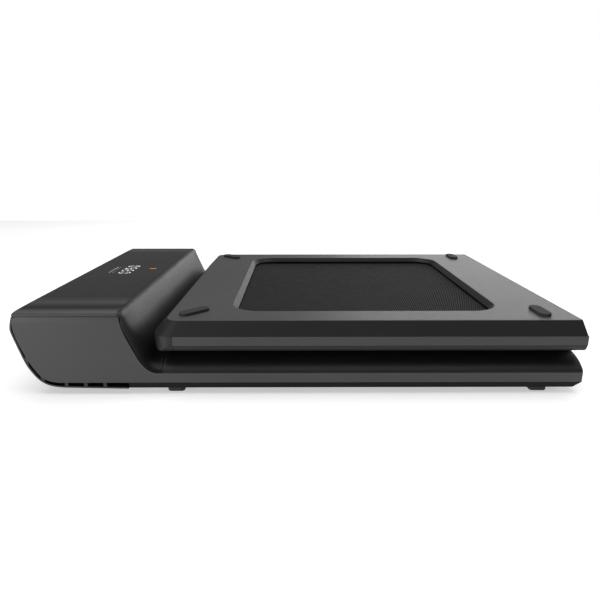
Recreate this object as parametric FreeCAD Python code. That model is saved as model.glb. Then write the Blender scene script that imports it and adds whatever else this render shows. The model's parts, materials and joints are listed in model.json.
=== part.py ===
import FreeCAD, Part
import math
import os

# Folding walking-pad treadmill, in millimetres.
# X runs along its length: motor housing at -X, fold at +X. Y runs across its width. Z is up from the floor.
# The origin is on the floor, under the middle of the folded machine. It is built folded: the rear half lies
# upside down on the front half. The rear half is drawn lying flat, as in use, and then turned about the fold.

V = FreeCAD.Vector

# ---- driving dimensions ----
HALF_WIDTH = 273.5
FRONT_FOLD_END = 410.0          # end plane of the front half
REAR_FOLD_END = 412.0           # end plane of the rear half when it lies flat
HINGE_X = 411.5
HINGE_Z = 57.4                  # half of the height from foot to foot when folded
REAR_END = 1037.0               # far end of the rear half when it lies flat
HOUSING_TOP = 127.2
SIDE_SEAM = 118.4               # seam between the top cover and the side covers
BAND_BOTTOM = 18.1              # lower edge of the side covers
BAND_TOP = 32.8                 # upper edge of the side covers along the deck
FRONT_BOTTOM = 8.5
REAR_BOTTOM = 4.5
DECK_TOP = 53.0
SKIN = 2.6                      # wall of the moulded covers
PLATE = 3.0                     # wall of the side covers

BULGE = 12.0                    # how far the folded belt bows out past the fold idlers
CENTRE_SHIFT = -BULGE / 2       # the bowed belt reaches past the fold ends, so the middle lies there

BELT_WIDTH = 420.0
BELT_THICK = 1.6
BELT_TOP = 52.0
BELT_RETURN = 16.5              # outer face of the return run
ROLLER_Z = (BELT_TOP + BELT_RETURN) / 2
ROLLER_R = (BELT_TOP - BELT_RETURN) / 2 - BELT_THICK - 0.05
DRIVE_ROLLER_X = -236.0
REAR_ROLLER_X = 1000.0
IDLER_X = 401.0
IDLER_BELT_R = 9.0              # outer face of the belt round a fold idler
IDLER_Z = BELT_RETURN + IDLER_BELT_R
IDLER_R = IDLER_BELT_R - BELT_THICK - 0.1
AXLE_R = 6.0
RUNNING_GAP = 0.05

RAIL_IN = 224.0                 # steel side rails, from this distance off the centre line
RAIL_OUT = 249.0
RAIL_BOTTOM = 15.5
RAIL_TOP = 44.0
TUBE_WALL = 2.0
BOARD_BOTTOM = 40.2
BOARD_THICK = 10.0
BOARD_HALF_WIDTH = 214.0

MOTOR_X = -325.0
MOTOR_Z = 72.0
MOTOR_R = 36.0
MOTOR_Y0 = 75.0
MOTOR_Y1 = 195.0
SHAFT_R = 5.0
DRIVE_PULLEY_R = 20.0
MOTOR_PULLEY_R = 8.0
PULLEY_Y0 = 252.5
PULLEY_Y1 = 265.5

WHEEL_X = -366.0
WHEEL_Y = 228.0
WHEEL_Z = 24.0
WHEEL_R = 15.0
WHEEL_HALF_WIDTH = 10.0

INLET_FLOOR = -384.0            # back wall of the recess for the mains inlet
INLET_Z = 63.0
INLET_Y = -178.0
SWITCH_Y = -146.0
RESET_Y = -122.0
ROCKER_TILT = 10.0

os.makedirs("parts", exist_ok=True)


# ---- helpers ----
def box(x0, x1, y0, y1, z0, z1):
    return Part.makeBox(x1 - x0, y1 - y0, z1 - z0, V(x0, y0, z0))


def rod_y(x, z, r, y0, y1):
    return Part.makeCylinder(r, y1 - y0, V(x, y0, z), V(0, 1, 0))


def rod_x(y, z, r, x0, x1):
    return Part.makeCylinder(r, x1 - x0, V(x0, y, z), V(1, 0, 0))


def rod_z(x, y, r, z0, z1):
    return Part.makeCylinder(r, z1 - z0, V(x, y, z0), V(0, 0, 1))


def spline(points):
    curve = Part.BSplineCurve()
    curve.interpolate(points)
    return curve.toShape()


def closed_face(pieces):
    """A face bounded by splines (lists of 3 or more points) and lines, joined end to end in order."""
    edges = []
    for piece in pieces:
        if len(piece) > 2:
            edges.append(spline(piece))
        else:
            edges.append(Part.makeLine(*piece))
    return Part.Face(Part.Wire(edges))


def xz(points):
    return [V(x, 0, z) for x, z in points]


def chain(*runs):
    """Joins point runs in the XZ plane into a closed boundary; a run of 3 or more points is a curve."""
    pieces = []
    for i, run in enumerate(runs):
        points = xz(run)
        if len(points) > 1:
            pieces.append(points)
        following = xz(runs[(i + 1) % len(runs)])[0]
        if (points[-1] - following).Length > 1e-6:
            pieces.append([points[-1], following])
    return closed_face(pieces)


def along_y(face, y0, y1):
    solid = face.extrude(V(0, y1 - y0, 0))
    solid.translate(V(0, y0, 0))
    return solid


def polygon_y(points, y0, y1):
    return along_y(Part.Face(Part.makePolygon(xz(points + points[:1]))), y0, y1)


def polygon_x(points, x0, x1):
    """A prism along X from (y, z) points."""
    wire = Part.makePolygon([V(0, y, z) for y, z in points + points[:1]])
    solid = Part.Face(wire).extrude(V(x1 - x0, 0, 0))
    solid.translate(V(x0, 0, 0))
    return solid


def mirrored(shape):
    return shape.mirror(V(0, 0, 0), V(0, 1, 0))


def both_sides(shape):
    return [shape, mirrored(shape)]


def rounded_rectangle(x0, x1, half_width, z, r0, r1):
    """A plan outline at height z. Corner radius r0 at the x0 end and r1 at the x1 end."""
    w = half_width
    edges = []
    corners = [(x0 + r0, -w + r0, r0, 180), (x1 - r1, -w + r1, r1, 270),
               (x1 - r1, w - r1, r1, 0), (x0 + r0, w - r0, r0, 90)]
    arcs = [Part.makeCircle(r, V(x, y, z), V(0, 0, 1), a, a + 90) for x, y, r, a in corners]
    for i, arc in enumerate(arcs):
        edges.append(arc)
        following = arcs[(i + 1) % 4]
        edges.append(Part.makeLine(arc.Vertexes[-1].Point, following.Vertexes[0].Point))
    return Part.Wire(edges)


def rounded_plate(x0, x1, half_width, z0, z1, r0, r1):
    return Part.Face(rounded_rectangle(x0, x1, half_width, z0, r0, r1)).extrude(V(0, 0, z1 - z0))


def obround(x, y, z0, z1, length, radius, angle, edge=1.2):
    """A long rounded pad centred at x, y, its long axis turned by angle from X, its lower edge softened."""
    half = length / 2 - radius
    pad = box(-half, half, -radius, radius, z0, z1)
    pad = pad.fuse(rod_z(-half, 0, radius, z0, z1)).fuse(rod_z(half, 0, radius, z0, z1)).removeSplitter()
    rim = [e for e in pad.Edges if abs(e.BoundBox.ZMin - z0) < 1e-6 and abs(e.BoundBox.ZMax - z0) < 1e-6]
    pad = pad.makeFillet(edge, rim)
    pad.rotate(V(0, 0, 0), V(0, 0, 1), angle)
    pad.translate(V(x, y, 0))
    return pad


def fold(shape):
    """Turns a rear-half shape from lying flat to folded over the front half."""
    turned = shape.copy()
    turned.rotate(V(HINGE_X, 0, HINGE_Z), V(0, 1, 0), -180)
    return turned


def save(name, *solids):
    parts = []
    for solid in solids:
        parts.extend(solid.Solids)
    shape = parts[0] if len(parts) == 1 else Part.makeCompound(parts)
    shape.translate(V(CENTRE_SHIFT, 0, 0))
    if not shape.isValid():
        print("NOT VALID", name)
    shape.exportStep("parts/" + name + ".step")
    print(name, len(parts), round(shape.Volume))


def save_rear(name, *solids):
    save(name, *[fold(solid) for solid in solids])


def hollow_rail(x0, x1, y0, y1, z0, z1, wall=TUBE_WALL):
    return box(x0, x1, y0, y1, z0, z1).cut(
        box(x0 - 1, x1 + 1, y0 + wall, y1 - wall, z0 + wall, z1 - wall))


def cross_tube(x, z0, z1, half_length):
    return box(x - 15, x + 15, -half_length, half_length, z0, z1).cut(
        box(x - 13, x + 13, -half_length - 1, half_length + 1, z0 + 2, z1 - 2))


def pipe_y(x, z, outer, inner, y0, y1):
    return rod_y(x, z, outer, y0, y1).cut(rod_y(x, z, inner, y0 - 1, y1 + 1))


# ---- housing outlines in the XZ plane ----
# outer face of the bumper cover, from the top seam round the nose to the underside
NOSE = [(-405.6, 118.1), (-409.1, 106.4), (-410.0, 99.0), (-407.6, 88.0), (-402.3, 70.5), (-397.7, 56.0),
        (-392.5, 42.9), (-386.0, 32.0), (-377.6, 21.8), (-366.6, 14.7), (-355.4, 11.7), (-342.0, 10.4)]
NOSE_INNER = [(-403.4, 118.1), (-406.9, 106.4), (-407.8, 99.0), (-405.4, 88.0),
              (-400.1, 71.2), (-395.6, 56.9), (-390.5, 44.0), (-384.2, 33.4),
              (-376.2, 23.7), (-365.8, 16.8), (-355.0, 13.9), (-342.0, 12.6)]
BUMPER_END = -250.0
# front edge of the side cover, just inside the bumper
CHEEK_FRONT = [(-402.9, SIDE_SEAM), (-405.6, 110.0), (-405.9, 102.0), (-404.3, 91.0), (-400.0, 76.5),
               (-390.5, 52.6), (-381.0, 35.6), (-371.0, 24.4), (-359.0, 19.4), (-345.0, BAND_BOTTOM)]
# rear edge of the side cover, from the top seam down to the band along the deck
CHEEK_REAR = [(-202.0, BAND_TOP), (-219.0, 37.0), (-230.0, 49.0), (-240.0, 69.0), (-250.0, 92.0),
              (-254.5, 108.0), (-255.5, SIDE_SEAM)]
# concave ramp behind the housing, from the deck up to the top edge, along its middle
RAMP = [(-198.0, 53.2), (-203.5, 53.5), (-209.5, 55.8), (-217.5, 63.2), (-227.0, 78.0), (-240.0, 103.0),
        (-247.5, 116.6), (-251.5, 122.4), (-257.1, 126.4)]
# where the ramp cover meets the side cover, point by point beside RAMP
RAMP_SEAM = [(-198.0, 33.2), (-207.0, 33.5), (-218.0, 37.6), (-229.0, 49.6), (-238.9, 69.4), (-248.9, 92.2),
             (-253.4, 108.0), (-254.8, 118.4), (-257.1, 119.2)]
# how far each point of the ramp has changed from the deck shoulder's rounding to the housing's
RAMP_CHANGE = [0, 0, 0.05, 0.15, 0.3, 0.6, 0.85, 0.95, 1]
# at each distance in from the side: rise of the deck shoulder, rise of the housing shoulder, wall
RAMP_SHOULDER = [(0.6, 0.04, 0.08, 0.6), (1.2, 0.126, 0.25, 1.4), (3.4, 0.242, 0.55, 1.3),
                 (9.2, 0.465, 0.80, 1.3), (21.4, 0.758, 0.86, 1.5), (34.6, 0.93, 0.91, SKIN),
                 (46.0, 0.99, 0.96, SKIN), (60.0, 1, 1, SKIN)]
# section of the side cover's upper edge: distance in from the side, height
SIDE_SHOULDER = [(0, 109.5), (0.25, 113.2), (0.8, 116.6), (1.5, 118.6)]
# section of the housing top near its side: distance in from the side, height
TOP_SHOULDER = [(1.2, 118.0), (1.4, 120.4), (2.8, 122.7), (6.0, 124.4), (11.0, 125.3), (18.0, 125.6),
                (26.0, 125.9), (36.0, 126.4), (48.0, 127.0), (60.0, HOUSING_TOP)]


# ---- front half: covers ----
def side_cover():
    outline = chain([(-345.0, BAND_BOTTOM), (FRONT_FOLD_END, BAND_BOTTOM)],
                    [(FRONT_FOLD_END, BAND_TOP)], CHEEK_REAR, CHEEK_FRONT)
    plate = along_y(outline, -HALF_WIDTH, -HALF_WIDTH + PLATE)
    shoulder = [V(-420, -HALF_WIDTH + i, z) for i, z in SIDE_SHOULDER]
    corner = V(-420, -HALF_WIDTH - 2, 118.6)
    lower = V(-420, -HALF_WIDTH - 2, 109.5)
    outside = closed_face([shoulder, [shoulder[-1], corner], [corner, lower], [lower, shoulder[0]]])
    return plate.cut(outside.extrude(V(180, 0, 0)))


def footrail(profile, x0, x1):
    """A walking-side shoulder: outer curve from the side seam up to the belt edge, with a wall of SKIN."""
    outer = [V(0, -HALF_WIDTH + i, z) for i, z in profile]
    inner = [V(0, p.y + dy, p.z + dz) for p, (dy, dz) in zip(outer, rail_offsets(profile))]
    edge_y = outer[-1].y
    lip = [V(0, edge_y + 12, outer[-1].z), V(0, edge_y + 12, outer[-1].z - SKIN)]
    pieces = [outer, [outer[-1], lip[0]], [lip[0], lip[1]], [lip[1], inner[-1]], inner[::-1],
              [inner[0], outer[0]]]
    solid = closed_face(pieces).extrude(V(x1 - x0, 0, 0))
    solid.translate(V(x0, 0, 0))
    return solid


def rail_offsets(profile):
    """Moves each profile point inward by SKIN, square to the curve."""
    moves = []
    for i in range(len(profile)):
        a = profile[max(i - 1, 0)]
        b = profile[min(i + 1, len(profile) - 1)]
        length = math.hypot(b[0] - a[0], b[1] - a[1])
        moves.append((SKIN * (b[1] - a[1]) / length, -SKIN * (b[0] - a[0]) / length))
    moves[0] = (SKIN, 0)
    moves[-1] = (0, -SKIN)
    return moves


FRONT_RAIL = [(0.4, 33.2), (0.9, 35.2), (3.4, 38.0), (9.2, 42.4), (21.4, 48.2), (34.6, 51.6),
              (46.0, DECK_TOP)]
REAR_RAIL = [(0.7, 40.8), (2.2, 45.0), (5.2, 49.2), (10.9, 51.6), (24.0, 52.4), (46.0, DECK_TOP)]
HINGE_NOTCH_Y = (215.2, 230.5)


def hinge_notch(x0, x1):
    low, high = HINGE_NOTCH_Y
    return box(x0, x1, -high, -low, 43.6, 70)


def ramp_section(inset, deck_rise, top_rise, wall):
    """Closed wire of the ramp's wall at one distance in from the side."""
    outer = []
    for (cx, cz), (rx, rz), change in zip(RAMP_SEAM, RAMP, RAMP_CHANGE):
        rise = (1 - change) * deck_rise + change * top_rise
        outer.append((cx + rise * (rx - cx), cz + rise * (rz - cz)))
    inner = []
    for i, (x, z) in enumerate(outer):
        a = outer[max(i - 1, 0)]
        b = outer[min(i + 1, len(outer) - 1)]
        length = math.hypot(b[0] - a[0], b[1] - a[1])
        inner.append((x - wall * (b[1] - a[1]) / length, z + wall * (b[0] - a[0]) / length))
    inner[0] = (outer[0][0], outer[0][1] - wall)
    inner[-1] = (outer[-1][0], outer[-1][1] - wall)
    y = -HALF_WIDTH + inset
    outer = [V(x, y, z) for x, z in outer]
    inner = [V(x, y, z) for x, z in inner[::-1]]
    return Part.Wire([spline(outer), Part.makeLine(outer[-1], inner[0]), spline(inner),
                      Part.makeLine(inner[-1], outer[0])])


def ramp_cover():
    sections = [ramp_section(*row) for row in RAMP_SHOULDER]
    edge = Part.makeLoft(sections, True, False, False, 3)
    middle = Part.Face(sections[-1]).extrude(V(0, 2 * (HALF_WIDTH - RAMP_SHOULDER[-1][0]), 0))
    shell = middle.fuse([edge, mirrored(edge)])
    belt_slot = box(-230, -190, -BELT_WIDTH / 2 - 4, BELT_WIDTH / 2 + 4, 20, 53.6)
    shell = shell.cut(belt_slot)
    rail_room = polygon_x(FRONT_RAIL_CLEARANCE, -200.0, -190)
    return shell.cut(rail_room).cut(mirrored(rail_room))


FRONT_RAIL_CLEARANCE = [(-HALF_WIDTH - 1, 30), (-HALF_WIDTH - 1, 60), (-200, 60), (-200, 30)]


def top_cover():
    outline = chain([(-403.6, 118.7), (-405.3, 119.2), (-403.6, 123.6), (-397.0, HOUSING_TOP)],
                    [(-263.0, HOUSING_TOP), (-260.5, 127.05), (-257.6, 126.5)], [(-257.6, 118.9)])
    block = along_y(outline, -HALF_WIDTH + 0.2, HALF_WIDTH - 0.2)
    near = [V(-410, -HALF_WIDTH + i, z) for i, z in TOP_SHOULDER]
    far = [V(p.x, -p.y, p.z) for p in near[::-1]]
    section = closed_face([near, [near[-1], far[0]], far, [far[-1], near[0]]])
    block = block.common(section.extrude(V(160, 0, 0)))
    block = block.cut(box(-399.0, -266.5, -HALF_WIDTH + 12, HALF_WIDTH - 12, 110, HOUSING_TOP - 3.4))
    x0, x1, w = DISPLAY
    block = block.cut(box(x0 - 0.15, x1 + 0.15, -w - 0.15, w + 0.15, HOUSING_TOP - 1.6, HOUSING_TOP + 1))
    return block.cut(box(x0 + 4, x1 - 4, -w + 4, w - 4, HOUSING_TOP - 6, HOUSING_TOP + 1))


DISPLAY = (-384.0, -272.0, 62.0)        # display window: x from, x to, half width


def display_window():
    x0, x1, w = DISPLAY
    return box(x0, x1, -w, w, HOUSING_TOP - 1.6, HOUSING_TOP - 0.1)


def display_board():
    x0, x1, w = DISPLAY
    board = box(x0 + 6, x1 - 6, -w + 6, w - 6, HOUSING_TOP - 8.6, HOUSING_TOP - 7.0)
    digits = box(-342, -316, -26, 26, HOUSING_TOP - 7.0, HOUSING_TOP - 2.2)
    lamp = rod_z(-285, 17, 4, HOUSING_TOP - 7.0, HOUSING_TOP - 2.2)
    return board.fuse(digits).fuse(lamp)


RIB_PLACES = [(-340.0, 14), (-312.0, 14), (-284.0, 14), (-373.5, 20.5), (-393.5, 50.0)]
RECESS = (-200.0, -106.0, 42.0, 84.0)   # mains recess: y from, y to, z from, z to


def bumper_cover():
    sheet_end = [(BUMPER_END, FRONT_BOTTOM), (BUMPER_END, FRONT_BOTTOM + 2.2)]
    sheet_outline = chain(NOSE, sheet_end, NOSE_INNER[::-1])
    sheet = along_y(sheet_outline, -HALF_WIDTH + 0.3, HALF_WIDTH - 0.3)
    gap_end = [(BUMPER_END, FRONT_BOTTOM + 2.2), (BUMPER_END, BAND_BOTTOM - 0.2)]
    cheek_side = [(x - 0.4, z - 0.3) for x, z in CHEEK_FRONT[::-1]]
    gap = along_y(chain(NOSE_INNER, gap_end, cheek_side), -HALF_WIDTH + 0.8, -HALF_WIDTH + 7)
    ribs = []
    for x, z in RIB_PLACES:
        rib = gap.common(box(x - 2.5, x + 2.5, -HALF_WIDTH, -HALF_WIDTH + 7, z - 7, z + 7))
        ribs.extend(both_sides(rib))
    y0, y1, z0, z1 = RECESS
    tray = box(-412, INLET_FLOOR + 2, y0 - 2, y1 + 2, z0 - 2, z1 + 2).common(
        along_y(chain(NOSE, [(-300, 10.4), (-300, 118.1)]), -230, -80))
    cover = sheet.fuse(ribs + [tray, wheel_well(-1), wheel_well(1)])
    cover = cover.cut(box(-420, INLET_FLOOR, y0, y1, z0, z1))
    cover = cover.cut(box(-400, -380, INLET_Y - 13.9, INLET_Y + 13.9, INLET_Z - 10.4, INLET_Z + 10.4))
    cover = cover.cut(box(-400, -380, SWITCH_Y - 7.2, SWITCH_Y + 7.2, INLET_Z - 10.4, INLET_Z + 10.4))
    cover = cover.cut(rod_x(RESET_Y, INLET_Z, 6.2, -400, -380))
    for side in (-1, 1):
        middle = side * WHEEL_Y
        cover = cover.cut(box(-390, WHEEL_X + 19, middle - 12, middle + 12, 0, 43))
    for i in range(12):
        x = -332 + 6.5 * i
        for y in (-120, 120):
            cover = cover.cut(box(x, x + 3, y - 45, y + 45, 0, 20))
    return cover


def front_bottom_plate():
    w0 = HALF_WIDTH - 4
    w1 = HALF_WIDTH - 0.1
    top = BAND_BOTTOM - 0.25
    outer = polygon_x([(-w0, FRONT_BOTTOM), (-w1, top), (w1, top), (w0, FRONT_BOTTOM)],
                      BUMPER_END + 0.3, FRONT_FOLD_END)
    inner = polygon_x([(-w0 + 2.5, FRONT_BOTTOM + 2.5), (-w1 + 2.8, top + 1), (w1 - 2.8, top + 1),
                       (w0 - 2.5, FRONT_BOTTOM + 2.5)], BUMPER_END - 5, FRONT_FOLD_END - 2.5)
    end_slope = polygon_y([(FRONT_FOLD_END - 10, FRONT_BOTTOM), (FRONT_FOLD_END + 1, FRONT_BOTTOM + 10.5),
                           (FRONT_FOLD_END + 1, FRONT_BOTTOM)], -HALF_WIDTH, HALF_WIDTH)
    inner_slope = end_slope.copy()
    inner_slope.translate(V(-3, 0, 0))
    belt_way = box(390, 420, -BELT_WIDTH / 2 - 5, BELT_WIDTH / 2 + 5, 13, 30)
    plate = outer.cut(end_slope).cut(inner.cut(inner_slope)).cut(belt_way)
    ribs = [box(x - 1.5, x + 1.5, -205, 205, FRONT_BOTTOM + 2.5, 14.5) for x in range(-180, 400, 90)]
    recess = rounded_plate(-150, 330, 190, FRONT_BOTTOM - 1, FRONT_BOTTOM + 1.0, 40, 40)
    plate = plate.fuse(ribs).cut(recess)
    for x, y in BOTTOM_SCREWS:
        plate = plate.cut(rod_z(x, y, 4.6, FRONT_BOTTOM - 1, FRONT_BOTTOM + 1.2))
        plate = plate.cut(rod_z(x, y, 1.9, FRONT_BOTTOM - 1, 16))
    return plate


BOTTOM_SCREWS = [(x, side * 252.0) for x in (-215, -90, 80, 250, 390) for side in (-1, 1)]


def bottom_screws():
    screws = []
    for x, y in BOTTOM_SCREWS:
        head = rod_z(x, y, 4.2, FRONT_BOTTOM + 0.1, FRONT_BOTTOM + 1.2)
        slot_a = box(x - 2.4, x + 2.4, y - 0.45, y + 0.45, FRONT_BOTTOM, FRONT_BOTTOM + 0.8)
        slot_b = box(x - 0.45, x + 0.45, y - 2.4, y + 2.4, FRONT_BOTTOM, FRONT_BOTTOM + 0.8)
        screws.append(head.fuse(rod_z(x, y, 1.8, FRONT_BOTTOM + 1.2, 15.0)).cut(slot_a).cut(slot_b))
    return screws


def fold_end_caps(x0, x1, z0, profile):
    """Plates that close the fold end of a half on each side of the belt."""
    points = [(-HALF_WIDTH + i + 1.5 * dy, z + 1.5 * dz)
              for (i, z), (dy, dz) in zip(profile, rail_offsets(profile))]
    wall_y = -HALF_WIDTH + PLATE + 0.3
    points = [(wall_y, z0)] + points + [(-215.8, points[-1][1]), (-215.8, z0)]
    inside = [(max(y, wall_y), z) for y, z in points]
    return polygon_x(inside, x0, x1)



# ---- front half: feet, frame, deck ----
FRONT_FEET_X = (-183.5, 352.5)


def front_feet():
    feet = []
    for x in FRONT_FEET_X:
        pad = rounded_plate(-12.5, 12.5, 20.0, 0, FRONT_BOTTOM, 5.0, 5.0)
        pad = pad.makeFillet(2.0, [e for e in pad.Edges if e.BoundBox.ZMax < 0.001])
        pad.translate(V(x, -HALF_WIDTH + 29.0, 0))
        feet += both_sides(pad)
    return feet


def front_rail():
    rail = hollow_rail(-340, 404, -RAIL_OUT, -RAIL_IN, RAIL_BOTTOM, RAIL_TOP)
    return rail.cut(rod_y(DRIVE_ROLLER_X, ROLLER_Z, 8.5, -RAIL_OUT - 1, -RAIL_IN + 1)).cut(
        rod_y(IDLER_X, IDLER_Z, 3.05, -RAIL_IN - 5, -RAIL_IN + 1))


def cross_members(xs):
    return [cross_tube(x, 22, 37, RAIL_IN - 0.2) for x in xs]


def cushions(xs):
    pads = []
    for x in xs:
        for y in (-180, -60, 60, 180):
            pads.append(rod_z(x, y, 11, 37, BOARD_BOTTOM))
    return pads


def running_board(x0, x1):
    board = box(x0, x1, -BOARD_HALF_WIDTH, BOARD_HALF_WIDTH, BOARD_BOTTOM, BOARD_BOTTOM + BOARD_THICK)
    ends = [e for e in board.Edges if e.Length > 300 and e.BoundBox.ZMin > BOARD_BOTTOM + 5]
    ends = [e for e in ends if abs(e.BoundBox.YMax - e.BoundBox.YMin) > 300]
    return board.makeFillet(4.0, ends)


FRONT_CROSS_X = (-150, 60, 270)
REAR_CROSS_X = (560, 720, 880)


def base_plate():
    plate = box(-340, -190, -RAIL_OUT, RAIL_OUT, 13.5, RAIL_BOTTOM)
    return plate.cut(box(-330, -268, -165, -75, 10, 20)).cut(box(-330, -268, 75, 165, 10, 20))


# ---- rollers and belt ----
def roller_tube(x, z, outer, inner, half_length):
    return pipe_y(x, z, outer, inner, -half_length, half_length)


def belt_front():
    half = BELT_WIDTH / 2
    outer_r = (BELT_TOP - BELT_RETURN) / 2
    r = outer_r - BELT_THICK
    z = ROLLER_Z
    ring = pipe_y(DRIVE_ROLLER_X, z, outer_r, r, -half, half)
    wrap = ring.cut(box(DRIVE_ROLLER_X, DRIVE_ROLLER_X + 60, -half - 1, half + 1, 0, 80))
    top = box(DRIVE_ROLLER_X, HINGE_X - 0.5, -half, half, BELT_TOP - BELT_THICK, BELT_TOP)
    low = box(DRIVE_ROLLER_X, IDLER_X, -half, half, BELT_RETURN, BELT_RETURN + BELT_THICK)
    return wrap.fuse([top, low])


def belt_rear():
    half = BELT_WIDTH / 2
    outer_r = (BELT_TOP - BELT_RETURN) / 2
    r = outer_r - BELT_THICK
    z = ROLLER_Z
    ring = pipe_y(REAR_ROLLER_X, z, outer_r, r, -half, half)
    wrap = ring.cut(box(REAR_ROLLER_X - 60, REAR_ROLLER_X, -half - 1, half + 1, 0, 80))
    start = HINGE_X + 0.5
    idler_x = 2 * HINGE_X - IDLER_X
    top = box(start, REAR_ROLLER_X, -half, half, BELT_TOP - BELT_THICK, BELT_TOP)
    low = box(idler_x, REAR_ROLLER_X, -half, half, BELT_RETURN, BELT_RETURN + BELT_THICK)
    return wrap.fuse([top, low])


def belt_fold_outer():
    """The return run's way round the fold: a quarter turn on each idler and a bowed length between them."""
    half = BELT_WIDTH / 2
    r_in = IDLER_BELT_R - BELT_THICK
    upper_z = 2 * HINGE_Z - IDLER_Z

    def quarter(radius, z, start, end):
        c = [V(IDLER_X + radius * math.cos(math.radians(a)), 0, z + radius * math.sin(math.radians(a)))
             for a in (start, (start + end) / 2, end)]
        return Part.Arc(*c).toShape()

    def bow(radius):
        x = IDLER_X + radius
        return Part.Arc(V(x, 0, IDLER_Z), V(x + BULGE, 0, HINGE_Z), V(x, 0, upper_z)).toShape()

    r_out = IDLER_BELT_R
    outer = [quarter(r_out, IDLER_Z, -90, 0), bow(r_out), quarter(r_out, upper_z, 0, 90)]
    inner = [quarter(r_in, upper_z, 90, 0), bow(r_in), quarter(r_in, IDLER_Z, 0, -90)]
    ends = [Part.makeLine(V(IDLER_X, 0, upper_z + IDLER_BELT_R), V(IDLER_X, 0, upper_z + r_in)),
            Part.makeLine(V(IDLER_X, 0, IDLER_Z - r_in), V(IDLER_X, 0, IDLER_Z - IDLER_BELT_R))]
    face = Part.Face(Part.Wire(Part.__sortEdges__(outer + inner + ends)))
    return along_y(face, -half, half)


def belt_fold_inner():
    """The walking run's turn between the facing halves, round the hinge axis."""
    half = BELT_WIDTH / 2
    r_in = HINGE_Z - BELT_TOP
    ring = pipe_y(HINGE_X, HINGE_Z, r_in + BELT_THICK, r_in, -half, half)
    turn = ring.common(box(HINGE_X - 0.5, HINGE_X + 20, -half, half, 0, 100))
    return turn


def roller_bearing_blocks():
    blocks = []
    for side in (-1, 1):
        y0 = side * 220 - 3.6
        block = box(DRIVE_ROLLER_X - 15, DRIVE_ROLLER_X + 15, y0, y0 + 7.2, RAIL_BOTTOM, 50)
        blocks.append(block.cut(rod_y(DRIVE_ROLLER_X, ROLLER_Z, 13.05, y0 - 1, y0 + 9)))
    return blocks


def bearing(x, z, y0, y1, inner, outer):
    """A ball bearing drawn as one ring with a groove between its races."""
    ring = pipe_y(x, z, outer, inner, y0, y1)
    middle = (inner + outer) / 2
    groove = pipe_y(x, z, middle + 1.0, middle - 1.0, y0 - 1, y0 + 0.7)
    return ring.cut(groove)


def pulley(x, z, outer, bore, grooves):
    wheel = pipe_y(x, z, outer, bore, PULLEY_Y0, PULLEY_Y1)
    for i in range(grooves):
        y = PULLEY_Y0 + 2.0 + 2.34 * i
        ring = pipe_y(x, z, outer + 1, outer - 0.9, y, y + 1.1)
        wheel = wheel.cut(ring)
    return wheel


def drive_belt():
    """The ribbed belt from the motor pulley to the drive roller, a closed loop of straight runs and arcs."""
    y0 = PULLEY_Y0 + 0.8
    y1 = PULLEY_Y1 - 0.8
    gap = 0.3
    thick = 2.0
    dx = DRIVE_ROLLER_X - MOTOR_X
    dz = ROLLER_Z - MOTOR_Z
    distance = math.hypot(dx, dz)
    direction = math.atan2(dz, dx)

    def band(grow):
        r0 = MOTOR_PULLEY_R + grow
        r1 = DRIVE_PULLEY_R + grow
        lean = math.acos((r0 - r1) / distance)
        corners = []
        for x, z, r, a in ((MOTOR_X, MOTOR_Z, r0, lean), (DRIVE_ROLLER_X, ROLLER_Z, r1, lean),
                           (DRIVE_ROLLER_X, ROLLER_Z, r1, -lean), (MOTOR_X, MOTOR_Z, r0, -lean)):
            corners.append((x + r * math.cos(direction + a), z + r * math.sin(direction + a)))
        middle = polygon_y(corners, y0, y1)
        ends = [rod_y(MOTOR_X, MOTOR_Z, r0, y0, y1), rod_y(DRIVE_ROLLER_X, ROLLER_Z, r1, y0, y1)]
        return middle.fuse(ends)

    return band(gap + thick).cut(band(gap))


# ---- motor ----
def motor_end_bell(y0, y1):
    bell = pipe_y(MOTOR_X, MOTOR_Z, MOTOR_R, 11.05, y0, y1)
    for i in range(6):
        angle = math.radians(60 * i)
        x = MOTOR_X + 24 * math.cos(angle)
        z = MOTOR_Z + 24 * math.sin(angle)
        bell = bell.cut(rod_y(x, z, 5, y0 - 1, y1 + 1))
    return bell


def motor_bracket(y0, y1):
    plate = polygon_y([(-340, RAIL_BOTTOM), (-292, RAIL_BOTTOM), (-289, MOTOR_Z + 30), (-300, MOTOR_Z + 36),
                       (-350, MOTOR_Z + 36), (-361, MOTOR_Z + 26), (-361, MOTOR_Z - 20)], y0, y1)
    plate = plate.cut(rod_y(MOTOR_X, MOTOR_Z, 33, y0 - 1, y1 + 1))
    toe = box(-340, -292, y1, y1 + 14, RAIL_BOTTOM, RAIL_BOTTOM + 3)
    return plate.fuse(toe)


def heat_sink():
    block = box(-338, -272, -205, -75, RAIL_BOTTOM, RAIL_BOTTOM + 5)
    fins = [box(-338, -272, y, y + 2.5, RAIL_BOTTOM + 5, 46) for y in range(-205, -76, 12)]
    return block.fuse(fins)


def controller_board():
    board = box(-338, -266, -208, -62, 52, 53.6)
    capacitors = [rod_z(-320 + 26 * i, -90, 10, 53.6, 84) for i in range(3)]
    chips = [box(-330, -312, -190 + 30 * i, -172 + 30 * i, 53.6, 62) for i in range(3)]
    relay = box(-300, -276, -150, -132, 53.6, 70)
    posts = [rod_z(x, y, 2.5, 46, 52) for x in (-334, -276) for y in (-203.8, -83.8)]
    return board.fuse(capacitors + chips + posts + [relay])


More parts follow.
